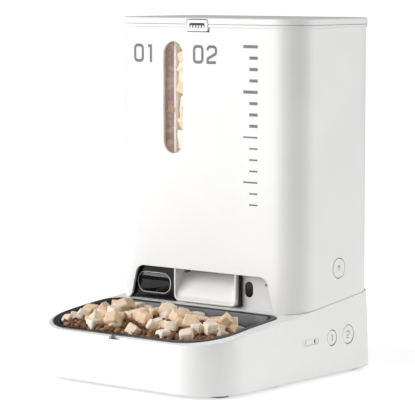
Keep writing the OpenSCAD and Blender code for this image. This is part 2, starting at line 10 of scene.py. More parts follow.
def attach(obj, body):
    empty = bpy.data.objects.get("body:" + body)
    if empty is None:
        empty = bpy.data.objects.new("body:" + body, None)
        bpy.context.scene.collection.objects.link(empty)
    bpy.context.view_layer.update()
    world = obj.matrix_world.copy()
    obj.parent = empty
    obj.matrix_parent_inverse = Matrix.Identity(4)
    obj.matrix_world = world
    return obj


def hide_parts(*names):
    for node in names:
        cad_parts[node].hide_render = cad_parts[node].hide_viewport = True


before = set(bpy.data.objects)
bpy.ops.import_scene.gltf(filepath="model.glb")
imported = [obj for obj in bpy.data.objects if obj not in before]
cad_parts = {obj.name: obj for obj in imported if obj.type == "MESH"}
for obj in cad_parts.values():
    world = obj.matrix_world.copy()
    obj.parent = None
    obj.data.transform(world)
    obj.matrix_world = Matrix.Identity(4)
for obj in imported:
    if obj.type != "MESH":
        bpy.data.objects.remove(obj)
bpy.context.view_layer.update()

MM = 0.001

# ---- sizes in millimetres

TOTAL_H = 327.0
LID_T, COLLAR_T, SEAM = 5.9, 2.6, 0.3
LID_Z = TOTAL_H - LID_T
COLLAR_Z = LID_Z - SEAM - COLLAR_T
WALL = 2.5
LEAN = 3.3 / 70
FOOT_H = 3.0

BASE = dict(half=112.2, front=-122.3, rear=122.3, rf=47.0, rr=25.0)
TOWER = dict(half=109.0, front=-2.0, rear=119.0, rf=27.4, rr=25.4)
BOWL = dict(half=102.5, front=-114.5, rear=-5.0, rf=42.0, rr=18.0, cx=-4.5)

DECK_Z, DECK_SLOPE, FRONT_TOP_Z, BULGE = 61.0, 0.12, 46.2, 2.2
LATCH_X = -5.0
LATCH_NOTCH = (LATCH_X - 13.2, LATCH_X + 13.2)
ARCH_X = -2.5
WINDOW = dict(x=-35.0, z=253.1, w=23.4, h=103.4)
DIVIDER_X = -38.0
WINDOW_FOOD_TOP = 309
RELEASE = dict(y=61.6, z=99.3, r=9.0)
FEED_BUTTONS = {"1": (49.3, 36.7, 6.9), "2": (74.5, 36.9, 8.4)}
INDICATOR = dict(y=17.0, z=36.7, w=24.0, h=5.6)
CAMERA_PILL = dict(x=-62.8, z=77.8, w=39.3, h=17.7)
LENS_X = -74.0
INLET = (80, 18, 6.05)
SPEAKER = dict(y=60, z=34, pitch=5, r=1.1)
CAP_GAP = 0.6
# ranges that a cutter has to span: the base's two side walls, its rear, the tower's front, above the lid
RIGHT_WALL, LEFT_WALL, REAR_WALL = ("x", 104, 116), ("x", -116, -104), ("y", 110, 130)
TOWER_FRONT = ("y", -6, 4)
ABOVE_LID = 330
CHUTE_HALF, CHUTE_FRONT, CHUTE_FOOT = 37.2, 1.0, 63.2
HINGE = dict(x=62.0, y=119.2, z=TOTAL_H - 9.5, r=2.9)


def deck(y):
    """Height of the base's top: a gentle arch in front of the tower, a flat slope under it."""
    if y > TOWER["front"]:
        return DECK_Z + DECK_SLOPE * (y - TOWER["front"])
    u = (TOWER["front"] - y) / (TOWER["front"] - BASE["front"])
    return DECK_Z + (FRONT_TOP_Z - DECK_Z) * u + 4 * BULGE * u * (1 - u)


# ---- materials

def srgb(code):
    """Linear RGBA of an sRGB hex colour."""
    parts = [int(code[i:i + 2], 16) / 255 for i in (1, 3, 5)]
    return tuple(c / 12.92 if c <= 0.04045 else ((c + 0.055) / 1.055) ** 2.4 for c in parts) + (1,)


def add(tree, kind, links=None, **settings):
    """Adds a node; settings are sockets or properties by name, links are sockets by name or number."""
    made = tree.nodes.new(kind)
    for name, value in settings.items():
        if hasattr(made, name):
            setattr(made, name, value)
        else:
            made.inputs[name.replace("_", " ")].default_value = value
    for name, socket in (links or {}).items():
        tree.links.new(socket, made.inputs[name])
    return made


def finish_of(name, colour, roughness, **sockets):
    """A material with one Principled shader; returns it with its tree and shader."""
    material = bpy.data.materials.new(name)
    material.use_nodes = True
    tree = material.node_tree
    shader = tree.nodes["Principled BSDF"]
    shader.inputs["Base Color"].default_value = srgb(colour)
    shader.inputs["Roughness"].default_value = roughness
    for socket, value in sockets.items():
        shader.inputs[socket.replace("_", " ")].default_value = value
    return material, tree, shader


def places(tree):
    """Object coordinates, in metres, which stay with the piece when it moves."""
    return add(tree, "ShaderNodeTexCoord").outputs["Object"]


def speckle(tree, shader, size_mm, low, high, bump_mm, detail=3.0, stretch=None):
    """Noise of that grain size drives the roughness from low to high and a bump of that depth."""
    where = places(tree)
    if stretch:
        where = add(tree, "ShaderNodeMapping", {"Vector": where}, Scale=stretch).outputs["Vector"]
    grain = add(tree, "ShaderNodeTexNoise", {"Vector": where}, Scale=1 / (size_mm * MM), Detail=detail)
    rough = add(tree, "ShaderNodeMapRange", {"Value": grain.outputs["Fac"]},
                From_Min=0.3, From_Max=0.7, To_Min=low, To_Max=high)
    bump = add(tree, "ShaderNodeBump", {"Height": grain.outputs["Fac"]}, Distance=bump_mm * MM, Strength=1.0)
    tree.links.new(rough.outputs["Result"], shader.inputs["Roughness"])
    tree.links.new(bump.outputs["Normal"], shader.inputs["Normal"])
    return grain


def two_tone(tree, shader, size_mm, dark, light, low=0.35, high=0.65, detail=4.0):
    """The base colour drifts between two close shades in patches of that size."""
    patch = add(tree, "ShaderNodeTexNoise", {"Vector": places(tree)}, Scale=1 / (size_mm * MM), Detail=detail)
    ramp = add(tree, "ShaderNodeValToRGB", {"Fac": patch.outputs["Fac"]})
    ramp.color_ramp.elements[0].position = low
    ramp.color_ramp.elements[0].color = srgb(dark)
    ramp.color_ramp.elements[1].position = high
    ramp.color_ramp.elements[1].color = srgb(light)
    tree.links.new(ramp.outputs["Color"], shader.inputs["Base Color"])
    return patch


def moulded(name, colour, roughness, grain, patches=None, **sockets):
    """A material with a grain and, where it needs them, patches of two shades; both as speckle and two_tone."""
    material, tree, shader = finish_of(name, colour, roughness, **sockets)
    speckle(tree, shader, *grain)
    if patches:
        two_tone(tree, shader, *patches)
    return material


def white_abs():
    # Satin injection-moulded ABS: a clean white with a faint spark-eroded grain in its soft highlights.
    # The real grain of 0.1 mm would not show, so it is drawn at 0.5 mm.
    return moulded("white_abs_satin_moulded", "#f4f4f3", 0.4, (0.5, 0.36, 0.44, 0.006),
                   (90, "#f2f2f1", "#f6f6f5"), IOR=1.53)


def white_pp():
    # Food-contact polypropylene: a little warmer and duller than the outer casing.
    return moulded("white_polypropylene_moulded", "#ececea", 0.48, (0.7, 0.42, 0.54, 0.01),
                   (60, "#e9e9e7", "#f0f0ee"), IOR=1.49)


def housing_painted_shade():
    # The drive housing is an unpolished inner moulding. Its colour is a shade greyer than the outer casing: painted
    # shade of the recess behind the arch.
    return moulded("housing_abs_painted_shade", "#dfdfde", 0.5, (0.6, 0.44, 0.56, 0.01),
                   (60, "#dcdcdb", "#e2e2e1"), IOR=1.53)


def grey_abs():
    # Coarsely textured ABS of the underside, which hides scratches.
    return moulded("grey_abs_textured", "#d9d9d8", 0.6, (0.8, 0.52, 0.7, 0.04), (70, "#d5d5d4", "#dededd"), IOR=1.53)


def black_gloss():
    # Piano-black ABS, polished in the mould: mirror-like with a trace of orange peel.
    return moulded("black_abs_piano_gloss", "#0d0d0e", 0.1, (6.0, 0.08, 0.14, 0.008, 1.0), IOR=1.4)


def smoked_lens():
    # Smoked polycarbonate: nearly black, with the camera only just showing behind it.
    return moulded("smoked_polycarbonate", "#08080a", 0.04, (9.0, 0.02, 0.06, 0.004, 1.0), IOR=1.5, Alpha=0.9)


def ring_metal():
    # Bright-dipped aluminium trim ring with very fine turning marks.
    return moulded("bright_aluminium_ring", "#f4f4f6", 0.3, (0.4, 0.26, 0.36, 0.003), Metallic=1.0)


def brushed_steel():
    # Satin-brushed stainless steel: long soft streaks, dark where it mirrors the shaded hollow. Its base colour is
    # kept far darker than steel's own: painted shade for that dark reflection.
    # The 0.05 mm scratches are drawn 0.35 mm apart so that they show.
    return moulded("stainless_steel_satin_brushed", "#4e5052", 0.4, (0.35, 0.34, 0.48, 0.006, 2.0, (0.04, 1.0, 1.0)),
                   (40, "#48494b", "#545658"), Metallic=1.0)


def zinc_steel():
    # Zinc-plated steel of screws and pins: cool grey with a light mottle.
    return moulded("zinc_plated_steel", "#b3b5b9", 0.35, (0.8, 0.28, 0.42, 0.006), Metallic=1.0)


def window_plastic():
    # Clear styrene of the level window: almost invisible but for its gloss and thicker rim.
    return moulded("clear_polystyrene", "#f3f6f8", 0.06, (12.0, 0.03, 0.09, 0.004, 1.0), IOR=1.59, Alpha=0.07)


def frosted_tub():
    # Frosted polypropylene of the inner tub: milky, with a soft sheen.
    return moulded("frosted_polypropylene", "#e8ecee", 0.5, (0.9, 0.44, 0.58, 0.012), (50, "#e4e8ea", "#eceff1"),
                   IOR=1.49, Subsurface_Weight=0.15, Subsurface_Radius=(0.004, 0.004, 0.004))


def rubber(name, colour, light, rough):
    # Moulded elastomer: matt, with a fine matt bloom that lifts its roughness in patches.
    return moulded(name, colour, rough, (0.9, rough - 0.08, rough + 0.1, 0.02), (14, colour, light), IOR=1.5)


def acetal():
    # Natural acetal of the gears: slightly yellow, waxy.
    return moulded("natural_acetal", "#efe9d9", 0.38, (0.6, 0.33, 0.44, 0.006), IOR=1.48,
                   Subsurface_Weight=0.1, Subsurface_Radius=(0.002, 0.002, 0.001))


def board_green():
    # Solder mask over glass-epoxy board: green, glossy, with paler copper under it.
    return moulded("solder_mask_on_glass_epoxy", "#14532d", 0.3, (0.5, 0.22, 0.4, 0.01),
                   (7, "#0f4524", "#1d6b3c", 0.46, 0.54, 0.0), IOR=1.55)


def dark_plastic(name, colour, rough):
    # Mould-textured dark ABS of small bought-in parts.
    return moulded(name, colour, rough, (0.7, rough - 0.06, rough + 0.08, 0.01), IOR=1.53)


def grey_ink():
    # Pad-printed grey ink: flat and slightly dry, with a hint of the screen's unevenness.
    return moulded("pad_printed_grey_ink", "#77787b", 0.55, (0.6, 0.5, 0.62, 0.004),
                   (3, "#727376", "#7d7e81"), IOR=1.5)


def by_piece(tree, shader, patch, colours):
    """Shifts a food's colour from piece to piece as well as across each piece."""
    tone = add(tree, "ShaderNodeAttribute", attribute_name="tone")
    both = add(tree, "ShaderNodeMath", {0: tone.outputs["Fac"], 1: patch.outputs["Fac"]}, operation="ADD")
    half = add(tree, "ShaderNodeMath", {0: both.outputs[0]}, operation="MULTIPLY")
    half.inputs[1].default_value = 0.5
    ramp = add(tree, "ShaderNodeValToRGB", {"Fac": half.outputs[0]})
    ramp.color_ramp.elements[0].position, ramp.color_ramp.elements[1].position = 0.2, 0.8
    ramp.color_ramp.elements[0].color, ramp.color_ramp.elements[1].color = srgb(colours[0]), srgb(colours[-1])
    for i, colour in enumerate(colours[1:-1]):
        ramp.color_ramp.elements.new(0.2 + 0.6 * (i + 1) / (len(colours) - 1)).color = srgb(colour)
    tree.links.new(ramp.outputs["Color"], shader.inputs["Base Color"])


def kibble_crumb(name, glow):
    # Baked extruded kibble: rough and porous, each one from dark crust to paler crumb. Any glow given is painted
    # light, an emission in place of light reaching it.
    material, tree, shader = finish_of(name, "#7a4c2c", 0.85, Emission_Color=srgb("#a5796a"), Emission_Strength=glow)
    grain = speckle(tree, shader, 1.1, 0.75, 0.95, 0.5, detail=5.0)
    by_piece(tree, shader, grain, ["#4c3322", "#785339", "#99704f", "#c29c74"])
    return material


def dried_cube(name, glow):
    # Freeze-dried meat: pale, chalky and fibrous, blushing peach in places. Any glow given is painted light, an
    # emission in place of light reaching it.
    material, tree, shader = finish_of(name, "#ecd3b2", 0.9, Emission_Color=srgb("#f5dcc0"), Emission_Strength=glow)
    grain = speckle(tree, shader, 1.8, 0.82, 0.97, 0.35, detail=5.0)
    by_piece(tree, shader, grain, ["#ecc9a4", "#f6dcbd", "#fbead6", "#fef4e8"])
    return material


def studio_white():
    # Seamless white card under the feeder, lit from below as a product table is, so that it reads pure white.
    material, tree, shader = finish_of("studio_card", "#fbfbfb", 0.9, Emission_Color=(1, 1, 1, 1))
    path = add(tree, "ShaderNodeLightPath")
    lift = add(tree, "ShaderNodeMapRange", {"Value": path.outputs["Is Camera Ray"]}, To_Min=0.12, To_Max=0.5)
    tree.links.new(lift.outputs["Result"], shader.inputs["Emission Strength"])
    speckle(tree, shader, 4.0, 0.86, 0.94, 0.01)
    return material


WHITE, WHITE_PP, GREY_ABS = white_abs(), white_pp(), grey_abs()
HOUSING_PAINTED_SHADE = housing_painted_shade()
BLACK_GLOSS, SMOKED, RING_METAL = black_gloss(), smoked_lens(), ring_metal()
BOWL_STEEL, ZINC, CLEAR, FROSTED = brushed_steel(), zinc_steel(), window_plastic(), frosted_tub()
FOOT_RUBBER = rubber("foot_rubber_moulded", "#2b2b2d", "#343437", 0.7)
SEAL_RUBBER = rubber("seal_silicone_moulded", "#b9bbbd", "#c4c6c8", 0.55)
IMPELLER_RUBBER = rubber("impeller_silicone_moulded", "#7c8892", "#8a96a0", 0.5)
ACETAL, BOARD, INK = acetal(), board_green(), grey_ink()
CAMERA_BLACK = dark_plastic("camera_black_abs", "#202123", 0.45)
JACK_BLACK = dark_plastic("jack_black_nylon", "#1c1c1d", 0.5)
SPEAKER_BLACK = dark_plastic("speaker_black_paper", "#262627", 0.75)
CAP_GREY = dark_plastic("cap_grey_polypropylene", "#c9cbcd", 0.5)
KIBBLE, CUBE = kibble_crumb("baked_kibble", 0.0), dried_cube("freeze_dried_meat", 0.0)
# The food in the hopper glows: painted light in place of the light that comes in through the window.
KIBBLE_PAINTED_LIT = kibble_crumb("baked_kibble_in_hopper_painted_light", 0.35)
CUBE_PAINTED_LIT = dried_cube("freeze_dried_meat_in_hopper_painted_light", 0.12)

NODE_FINISH = (
    (WHITE, "base_shell chute tower_shell top_collar lid_cover latch release_lever_right release_lever_left"
            " feed_button_1 feed_button_2"),
    (WHITE_PP, "indicator_lens hopper_divider hopper_floor lid_liner desiccant_cup"),
    (HOUSING_PAINTED_SHADE, "drive_housing"), (GREY_ABS, "base_plate motor_bracket"), (FROSTED, "hopper_tub"),
    (CLEAR, "window_lens"), (BLACK_GLOSS, "camera_panel"), (SMOKED, "camera_window sensor_window"),
    (RING_METAL, "camera_ring"), (BOWL_STEEL, "bowl"),
    (ZINC, "base_screws housing_screws motor_1 motor_2 lever_pins hinge_pins"),
    (FOOT_RUBBER, "feet"), (SEAL_RUBBER, "lid_seal"), (IMPELLER_RUBBER, "impeller_1 impeller_2"),
    (ACETAL, "gear_1 gear_2 pinion_1 pinion_2"), (BOARD, "main_board button_board"),
    (CAMERA_BLACK, "camera_module"), (JACK_BLACK, "dc_jack"), (SPEAKER_BLACK, "speaker"),
    (CAP_GREY, "desiccant_cap"),
)


def dress_cad_nodes():
    for finish, names in NODE_FINISH:
        for name in names.split():
            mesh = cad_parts[name].data
            mesh.materials.clear()
            mesh.materials.append(finish)


# ---- mesh helpers

CORNER_STEPS, EDGE_STEPS, SIDE_STEPS = 16, 10, 26


def plan(half, front, rear, rf, rr, inset=0.0, cx=0.0):
    """Rounded plan outline in mm, anticlockwise from the front left; the point count never changes."""
    shift, half, front, rear = cx, half - inset, front + inset, rear - inset
    rf, rr = max(rf - inset, 0.3), max(rr - inset, 0.3)
    corners = [(half - rf, front + rf, rf, -90, EDGE_STEPS), (half - rr, rear - rr, rr, 0, SIDE_STEPS),
               (-half + rr, rear - rr, rr, 90, EDGE_STEPS), (-half + rf, front + rf, rf, 180, SIDE_STEPS)]
    points = []
    for cx, cy, r, start, steps in corners:
        first = (cx + r * math.cos(math.radians(start)), cy + r * math.sin(math.radians(start)))
        if points:
            last = points[-1]
            points += [(last[0] + (first[0] - last[0]) * i / steps, last[1] + (first[1] - last[1]) * i / steps)
                       for i in range(1, steps)]
        for i in range(CORNER_STEPS + 1):
            a = math.radians(start + 90 * i / CORNER_STEPS)
            points.append((cx + r * math.cos(a), cy + r * math.sin(a)))
    last, first = points[-1], points[0]
    closing = corners[3][4]
    points += [(last[0] + (first[0] - last[0]) * i / closing, last[1] + (first[1] - last[1]) * i / closing)
               for i in range(1, closing)]
    return [(x + shift, y) for x, y in points]


def ring(outline, height, inset=0.0):
    """A ring of 3-D points: height is a number or a function of y."""
    flat = plan(**outline, inset=inset)
    return [(x, y, height(y) if callable(height) else height) for x, y in flat]


def deck_ring(outline, lift, inset=0.0):
    """A ring that follows the deck's slope, that far above it."""
    return ring(outline, lambda y: deck(y) + lift, inset)


def settle(piece, body, node=None, smooth=None):
    """Hangs a piece on its body and puts it in the place of a CAD node."""
    if smooth:
        soften(piece, smooth)
    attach(piece, body)
    if node:
        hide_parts(node)


def mesh_piece(name, points, faces, material):
    mesh = bpy.data.meshes.new(name)
    mesh.from_pydata([tuple(c * MM for c in p) for p in points], [], faces)
    mesh.validate()
    mesh.materials.append(material)
    piece = bpy.data.objects.new(name, mesh)
    bpy.context.scene.collection.objects.link(piece)
    return piece


def loft(name, rings, material, cap_start=False, cap_end=False, close=False):
    """Skin through rings of equal length; caps are flat faces, close joins the last ring to the first."""
    count = len(rings[0])
    points = [p for r in rings for p in r]
    faces = []
    spans = len(rings) if close else len(rings) - 1
    for k in range(spans):
        a, b = k * count, ((k + 1) % len(rings)) * count
        faces += [(a + i, a + (i + 1) % count, b + (i + 1) % count, b + i) for i in range(count)]
    if cap_start:
        faces.append(tuple(reversed(range(count))))
    if cap_end:
        faces.append(tuple(range((len(rings) - 1) * count, len(rings) * count)))
    piece = mesh_piece(name, points, faces, material)
    outward(piece)
    return piece


def outward(piece):
    edit = bmesh.new()
    edit.from_mesh(piece.data)
    bmesh.ops.recalc_face_normals(edit, faces=edit.faces)
    edit.to_mesh(piece.data)
    edit.free()


def soften(piece, angle=32.0):
    """Smooth shading with creases kept where faces meet at more than that angle."""
    edit = bmesh.new()
    edit.from_mesh(piece.data)
    for face in edit.faces:
        face.smooth = True
    for edge in edit.edges:
        edge.smooth = len(edge.link_faces) == 2 and edge.calc_face_angle(0) < math.radians(angle)
    edit.to_mesh(piece.data)
    edit.free()
    return piece


def apply_modifiers(piece):
    bpy.context.view_layer.update()
    graph = bpy.context.evaluated_depsgraph_get()
    baked = bpy.data.meshes.new_from_object(piece.evaluated_get(graph))
    old = piece.data
    piece.modifiers.clear()
    piece.data = baked
    baked.name = piece.name
    bpy.data.meshes.remove(old)
    return piece


def cut(piece, cutters, operation="DIFFERENCE"):
    """Cuts the cutters out of the piece, or joins them to it, and removes them."""
    for cutter in cutters:
        change = piece.modifiers.new("cut", "BOOLEAN")
        change.operation = operation
        change.solver = "EXACT"
        change.object = cutter
    apply_modifiers(piece)
    for cutter in cutters:
        bpy.data.objects.remove(cutter)
    return piece


def even_out(piece, weight=50):
    """Weighted normals, which keep flat faces flat beside their rounded edges."""
    even = piece.modifiers.new("even", "WEIGHTED_NORMAL")
    even.keep_sharp = True
    even.weight = weight


def round_edges(piece, width_mm, angle=40.0, segments=2):
    bevel = piece.modifiers.new("edge", "BEVEL")
    bevel.width = width_mm * MM
    bevel.segments = segments
    bevel.limit_method = "ANGLE"
    bevel.angle_limit = math.radians(angle)
    bevel.use_clamp_overlap = True
    apply_modifiers(piece)
    soften(piece)
    even_out(piece, 80)


def prism_along(name, outline, axis, low, high, material=None):
    """Closed prism: a 2-D outline swept along 'x' (outline in y, z) or 'y' (outline in x, z)."""
    def place(u, v, w):
        return (w, u, v) if axis == "x" else (u, w, v)
    rings = [[place(u, v, w) for u, v in outline] for w in (low, high)]
    return loft(name, rings, material or WHITE, cap_start=True, cap_end=True)


def pill_outline(cx, cz, w, h, steps=24):
    r = min(w, h) / 2
    dx, dz = max(w / 2 - r, 0), max(h / 2 - r, 0)
    points = []
    for i in range(2 * steps + 2):
        side = 1 if i <= steps else -1
        k = i if side > 0 else i - steps - 1
        if w >= h:
            a = math.radians((-90 if side > 0 else 90) + 180 * k / steps)
            points.append((cx + side * dx + r * math.cos(a), cz + r * math.sin(a)))
        else:
            a = math.radians((0 if side > 0 else 180) + 180 * k / steps)
            points.append((cx + r * math.cos(a), cz + side * dz + r * math.sin(a)))
    return points


def pill_rings(pill, profile, steps=24):
    """Rings of a pill seen from the front, one for each (growth, y)."""
    return [[(x, y, z) for x, z in pill_outline(pill["x"], pill["z"], pill["w"] + grow, pill["h"] + grow, steps)]
            for grow, y in profile]


def circle_outline(cu, cv, r, steps=64):
    return [(cu + r * math.cos(math.tau * i / steps), cv + r * math.sin(math.tau * i / steps)) for i in range(steps)]


def rect(u0, u1, v0, v1, r=0, steps=8):
    """Rectangle from its lower left corner, anticlockwise; r is one corner radius or four."""
    corners = [(u0, v0), (u1, v0), (u1, v1), (u0, v1)]
    if not r:
        return corners
    return rounded_outline(corners, r if isinstance(r, list) else [r] * 4, steps)


def rounded_outline(corners, radii, steps=8):
    """Polygon with each corner rounded to its own radius."""
    points = []
    count = len(corners)
    for i, (corner, r) in enumerate(zip(corners, radii)):
        here = Vector(corner)
        back, ahead = Vector(corners[i - 1]) - here, Vector(corners[(i + 1) % count]) - here
        back.normalize()
        ahead.normalize()
        half_angle = math.acos(max(-1, min(1, back.dot(ahead)))) / 2
        if r <= 0:
            points.append(tuple(here))
            continue
        centre = here + (back + ahead).normalized() * (r / math.sin(half_angle))
        start = here + back * (r / math.tan(half_angle)) - centre
        end = here + ahead * (r / math.tan(half_angle)) - centre
        turn = math.atan2(start.x * end.y - start.y * end.x, start.dot(end))
        first = math.atan2(start.y, start.x)
        points += [(centre.x + r * math.cos(first + turn * k / steps),
                    centre.y + r * math.sin(first + turn * k / steps)) for k in range(steps + 1)]
    return points


def arc_steps(count):
    """Quarter-turn positions from 0 to 1, with their cosine and sine."""
    return [(math.cos(math.pi / 2 * i / count), math.sin(math.pi / 2 * i / count)) for i in range(count + 1)]


# ---- base

def spread(start, end, steps, lift):
    """Rings along the deck's slope from one outline to another of the same length."""
    rings = []
    for k in range(1, steps + 1):
        t = k / steps
        flat = [(a[0] + (b[0] - a[0]) * t, a[1] + (b[1] - a[1]) * t) for a, b in zip(start, end)]
        rings.append([(x, y, deck(y) + lift) for x, y in flat])
    return rings


def base_shell():
    """Leaning casing with rounded edges, sloping top and the well for the bowl, one wall thick."""
    r_low, r_top, r_hole = 2.2, 1.1, 0.5
    hole_gap, ledge, ledge_drop = 0.4, 4.0, 0.75
    well_under, well_floor = 9.0, 11.0
    top_lean = 58 * LEAN
    # inside, from the underside of the well out to the bottom edge
    rings = [ring(BOWL, well_under, 1.5), deck_ring(BOWL, -WALL, 1.5)]
    rings += spread(plan(**BOWL, inset=1.5), plan(**BASE, inset=WALL + 62 * LEAN), 6, -WALL)
    rings.append(ring(BASE, FOOT_H, WALL + FOOT_H * LEAN))
    # bottom edge, wall and top edge
    for c, s in arc_steps(5):
        z = FOOT_H + r_low * (1 - c)
        rings.append(ring(BASE, z, r_low * (1 - s) + z * LEAN))
    low = FOOT_H + r_low
    for k in range(1, 7):
        t = k / 7
        flat = plan(**BASE, inset=(low + (56 - r_top - low) * t) * LEAN)
        rings.append([(x, y, low + (deck(y) - r_top - low) * t) for x, y in flat])
    rings += [deck_ring(BASE, -r_top * (1 - s), top_lean + r_top * (1 - c)) for c, s in arc_steps(5)]
    # deck, in to the hole and down to the ledge that the bowl's rim sits on
    rings += spread(plan(**BASE, inset=top_lean + r_top), plan(**BOWL, inset=-hole_gap - r_hole), 8, 0.0)
    rings += [deck_ring(BOWL, -r_hole * (1 - c), -hole_gap - r_hole * (1 - s)) for c, s in arc_steps(3)[1:]]
    rings += [deck_ring(BOWL, -ledge_drop, -hole_gap), deck_ring(BOWL, -ledge_drop, ledge)]
    rings.append(ring(BOWL, well_floor, ledge))
    shell = loft("base_casing", rings, WHITE, cap_start=True, cap_end=True)

    light = pill_outline(INDICATOR["y"], INDICATOR["z"], INDICATOR["w"] + 0.3, INDICATOR["h"] + 0.3)
    holes = [(circle_outline(y, z, r + CAP_GAP), *RIGHT_WALL) for y, z, r in FEED_BUTTONS.values()]
    holes += [(light, *RIGHT_WALL), (circle_outline(*INLET), *REAR_WALL)]
    for i in range(-3, 4):
        for j in range(-2, 3):
            y, z = SPEAKER["y"] + SPEAKER["pitch"] * i, SPEAKER["z"] + SPEAKER["pitch"] * j
            holes.append((circle_outline(y, z, SPEAKER["r"], 16), *LEFT_WALL))
    finger_notch = rect(-11, 2, 44.2, 60, [1, 1, 0, 0])
    holes.append((finger_notch, "y", BASE["front"] + 2.6, BASE["front"] + 9))
    cutters = [prism_along("cutter", *hole) for hole in holes]
    drive_opening = rect(-90, 90, 17, 103, 8)
    cutters.append(loft("cutter", [[(x, y, z) for x, y in drive_opening] for z in (40, 90)], WHITE, True, True))
    cut(shell, cutters)
    soften(shell)
    even_out(shell)
    settle(shell, "base", "base_shell")


def bowl():
    """Pressed steel bowl: rolled rim, drawn walls with a generous cove, flat floor."""
    sheet, rim_r, floor_z, cove, lip = 0.8, 0.7, 14.0, 7, 1.8
    wall_top, wall_low = 5.4, 15.0

    def wall(s, drop, foot, out):
        """A ring on the wall, from its top at s = 0 to the start of the cove at s = 1."""
        inset = wall_top + (wall_low - wall_top) * s - out
        return ring(BOWL, lambda y: (deck(y) - drop) + (floor_z + foot - deck(y) + drop) * s, inset)

    # outside, from the floor up to the rim
    rings = [ring(BOWL, floor_z - sheet + 6 * (1 - s), wall_low - sheet + cove * (1 - c))
             for c, s in arc_steps(6)[:0:-1]]
    rings += [wall(s, 0.8, 6, sheet) for s in (1.0, 0.8, 0.6, 0.4, 0.2, 0.0)]
    rings += [deck_ring(BOWL, -rim_r, 4.3), deck_ring(BOWL, -rim_r, rim_r)]
    for k in range(1, 6):
        a = math.pi * k / 6
        rings.append(deck_ring(BOWL, -rim_r + rim_r * (1 - math.cos(a)), rim_r - rim_r * math.sin(a)))
    # over the rim and down the inside
    rings += [deck_ring(BOWL, rim_r, rim_r), deck_ring(BOWL, rim_r, wall_top - lip)]
    rings += [deck_ring(BOWL, rim_r - 1.6 * (1 - c), wall_top - lip + lip * s) for c, s in arc_steps(4)[1:]]
    rings += [wall(s, 0.9, 6.5, 0.0) for s in (0.12, 0.3, 0.5, 0.7, 0.85, 1.0)]
    rings += [ring(BOWL, floor_z + 6.5 * (1 - s), wall_low + cove * (1 - c)) for c, s in arc_steps(6)[1:]]
    piece = loft("steel_bowl", rings, BOWL_STEEL, cap_start=True, cap_end=True)
    settle(piece, "bowl", "bowl", smooth=50)


# ---- tower

def arch_outline():
    half = [(92, 50), (89, 62.5), (84.5, 66), (77, 94)]
    right = [(ARCH_X + x, z) for x, z in half]
    left = [(ARCH_X - x, z) for x, z in half]
    corners = [left[0]] + right + left[:0:-1]
    return rounded_outline(corners, [0, 0, 2, 4, 10, 10, 4, 2], 8)


def tower_shell():
    rings = [deck_ring(TOWER, 0.3, WALL), deck_ring(TOWER, 0.3, 0.4), deck_ring(TOWER, 0.45, 0.1),
             deck_ring(TOWER, 0.75)]
    levels = (95, 130, 190, 250, COLLAR_Z)
    rings += [ring(TOWER, z) for z in levels]
    rings += [ring(TOWER, z, WALL) for z in reversed(levels)]
    shell = loft("tower_casing", rings, WHITE, close=True)
    slot = pill_outline(WINDOW["x"], WINDOW["z"], WINDOW["w"] + 0.2, WINDOW["h"] + 0.2, 32)
    holes = [(arch_outline(), *TOWER_FRONT), (slot, *TOWER_FRONT)]
    holes.append((rect(*LATCH_NOTCH, 313.8, ABOVE_LID), "y", -6, 3))
    for s in (-1, 1):
        cap_hole = circle_outline(RELEASE["y"], RELEASE["z"], RELEASE["r"] + CAP_GAP)
        hinge_slot = rect(s * HINGE["x"] - 12, s * HINGE["x"] + 12, 314.2, ABOVE_LID)
        holes += [(cap_hole, "x", *sorted((s * 100, s * 116))), (hinge_slot, "y", 115, 124)]
    cut(shell, [prism_along("cutter", *hole) for hole in holes])
    round_edges(shell, 0.45)
    settle(shell, "hopper", "tower_shell")


def collar():
    top = COLLAR_Z + COLLAR_T
    inner, under = WALL + 0.05, COLLAR_Z - 4
    profile = [(under, inner), (COLLAR_Z, inner), (COLLAR_Z, -1.0), (COLLAR_Z + 0.4, -1.4), (top - 0.3, -1.4),
               (top, -1.1), (top, WALL + 2), (under, WALL + 2)]
    piece = loft("top_collar_ring", [ring(TOWER, z, inset) for z, inset in profile], WHITE, close=True)
    cutters = [prism_along("cutter", rect(*LATCH_NOTCH, 310, ABOVE_LID), "y", -6, 2)]
    ears = []
    for s in (-1, 1):
        x = s * HINGE["x"]
        knuckle_gap = rect(x - 6.5, x + 6.5, 312, ABOVE_LID)
        cutters.append(prism_along("cutter", knuckle_gap, "y", HINGE["y"] - 3.4, 126))
        ears += [prism_along("ear", hinge_profile(top, 1.0), "x", x + t * 9 - 2.5, x + t * 9 + 2.5)
                 for t in (-1, 1)]
    cut(piece, cutters)
    bar = prism_along("latch_bar", rect(LATCH_X - 17, LATCH_X + 17, COLLAR_Z - 3, top, 0.8), "y", 2.0, 4.6)
    cut(piece, [bar] + ears, "UNION")
    settle(piece, "hopper", "top_collar", smooth=32)


def hinge_profile(top, back):
    """Side view of an ear or a knuckle: round below its pin, straight up to the plate that carries it."""
    cy, cz, r = HINGE["y"], HINGE["z"], HINGE["r"]
    arc = [(cy + r * math.cos(a), cz + r * math.sin(a)) for a in
           [math.radians(180 + 200 * i / 20) for i in range(21)]]
    return arc + [(cy + back, cz + r * 0.75), (cy + back, top), (cy - r, top)]


